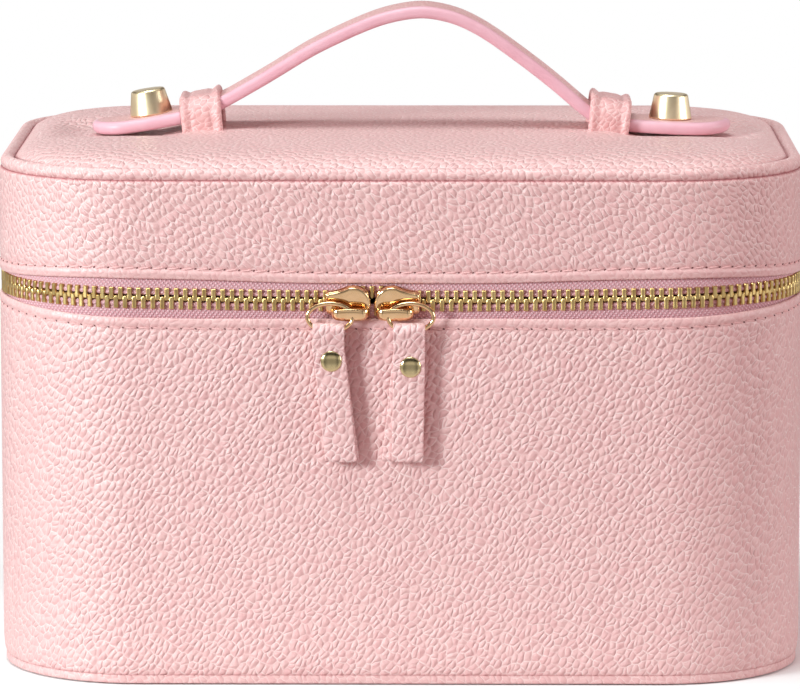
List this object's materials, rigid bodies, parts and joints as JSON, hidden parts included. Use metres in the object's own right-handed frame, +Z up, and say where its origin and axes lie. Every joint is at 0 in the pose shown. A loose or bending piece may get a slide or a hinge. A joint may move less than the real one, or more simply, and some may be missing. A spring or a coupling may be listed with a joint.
{
  "type": "makeup train case",
  "caption": "Hard-sided zip-round makeup train case in grained pink leather, with a lift-up lid, two-way zip with leather pulls, and an arched strap handle on the lid",
  "frame": {"origin": "centre of the flat underside of the base, on the surface it stands on", "axes": "X along the length of the case, to the right as seen from the front, Y from the front towards the hinge side, Z up"},
  "size_m": [0.22, 0.1554, 0.1786],
  "materials": {
    "pink_leather": "pebble-grained, semi-matte",
    "strap_leather": "fine-grained, with painted edges",
    "pink_lining": "woven, matte",
    "zip_tape": "twill woven tape, matte",
    "antique_gold": "antique plated",
    "polished_gold": "polished light-gold plated",
    "steel_screw": "plain",
    "greyboard": "stiff board, matte",
    "foam_padding": "thin foam padding"
  },
  "bodies": {
    "body": {"base_leather": "pink_leather", "base_board": "greyboard", "base_lining": "pink_lining", "base_piping": "pink_leather", "body_leather": "pink_leather", "body_board": "greyboard", "body_lining": "pink_lining", "lower_zip_tape": "zip_tape", "lower_teeth_front": "antique_gold", "lower_teeth_sides": "antique_gold", "hinge_strip": "pink_leather", "hinge_lining": "pink_lining"},
    "lid": {"lid_band_leather": "pink_leather", "lid_band_board": "greyboard", "lid_piping": "pink_leather", "lid_top_leather": "pink_leather", "lid_top_foam": "foam_padding", "lid_top_board": "greyboard", "lid_lining": "pink_lining", "upper_zip_tape": "zip_tape", "upper_teeth_front": "antique_gold", "upper_teeth_sides": "antique_gold", "left_keeper_loop": "strap_leather", "right_keeper_loop": "strap_leather"},
    "left_slider": {"left_slider": "polished_gold"},
    "left_ring": {"left_pull_ring": "polished_gold"},
    "left_tab": {"left_pull_tab": "pink_leather", "left_pull_rivet": "polished_gold"},
    "left_end": {"left_strap_end": "strap_leather", "left_stud": "polished_gold", "left_stud_screw": "steel_screw"},
    "right_slider": {"right_slider": "polished_gold"},
    "right_ring": {"right_pull_ring": "polished_gold"},
    "right_tab": {"right_pull_tab": "pink_leather", "right_pull_rivet": "polished_gold"},
    "right_end": {"right_strap_end": "strap_leather", "right_stud": "polished_gold", "right_stud_screw": "steel_screw"},
    "handle": {"handle_strap": "strap_leather"}
  },
  "joints": [
    {"name": "lid_hinge", "type": "hinge", "parent": "body", "child": "lid", "pos_m": [0, 0.0732, 0.1052], "axis": [-1, 0, 0], "range_deg": [0, 100], "deforming": ["hinge_strip", "hinge_lining"]},
    {"name": "left_slider_run", "type": "slide", "parent": "body", "child": "left_slider", "axis": [-1, 0, 0], "range_m": [0, 0.05], "deforming": ["upper_teeth_front", "lower_teeth_front"]},
    {"name": "right_slider_run", "type": "slide", "parent": "body", "child": "right_slider", "axis": [1, 0, 0], "range_m": [0, 0.063], "deforming": ["upper_teeth_front", "lower_teeth_front"]},
    {"name": "left_ring_turn", "type": "hinge", "parent": "left_slider", "child": "left_ring", "pos_m": [-0.01375, -0.07783, 0.10105], "axis": [0, 0, 1], "range_deg": [0, 90]},
    {"name": "right_ring_turn", "type": "hinge", "parent": "right_slider", "child": "right_ring", "pos_m": [-0.00205, -0.07783, 0.10105], "axis": [0, 0, -1], "range_deg": [0, 90]},
    {"name": "left_tab_swing", "type": "hinge", "parent": "left_ring", "child": "left_tab", "pos_m": [-0.0187, -0.07783, 0.09727], "axis": [-1, 0, 0], "range_deg": [0, 110]},
    {"name": "right_tab_swing", "type": "hinge", "parent": "right_ring", "child": "right_tab", "pos_m": [0.0029, -0.07783, 0.09727], "axis": [-1, 0, 0], "range_deg": [0, 110]},
    {"name": "handle_press", "type": "slide", "parent": "lid", "child": "handle", "axis": [0, 0, 1], "range_m": [-0.026, 0.003], "deforming": ["handle_strap"]},
    {"name": "left_end_slide", "type": "slide", "parent": "lid", "child": "left_end", "axis": [-1, 0, 0], "range_m": [-0.0008, 0.0066]},
    {"name": "right_end_slide", "type": "slide", "parent": "lid", "child": "right_end", "axis": [1, 0, 0], "range_m": [-0.0008, 0.0066]}
  ],
  "couplings": [
    {"joint": "left_end_slide", "follows": "handle_press", "ratio": -0.25},
    {"joint": "right_end_slide", "follows": "handle_press", "ratio": -0.25}
  ]
}
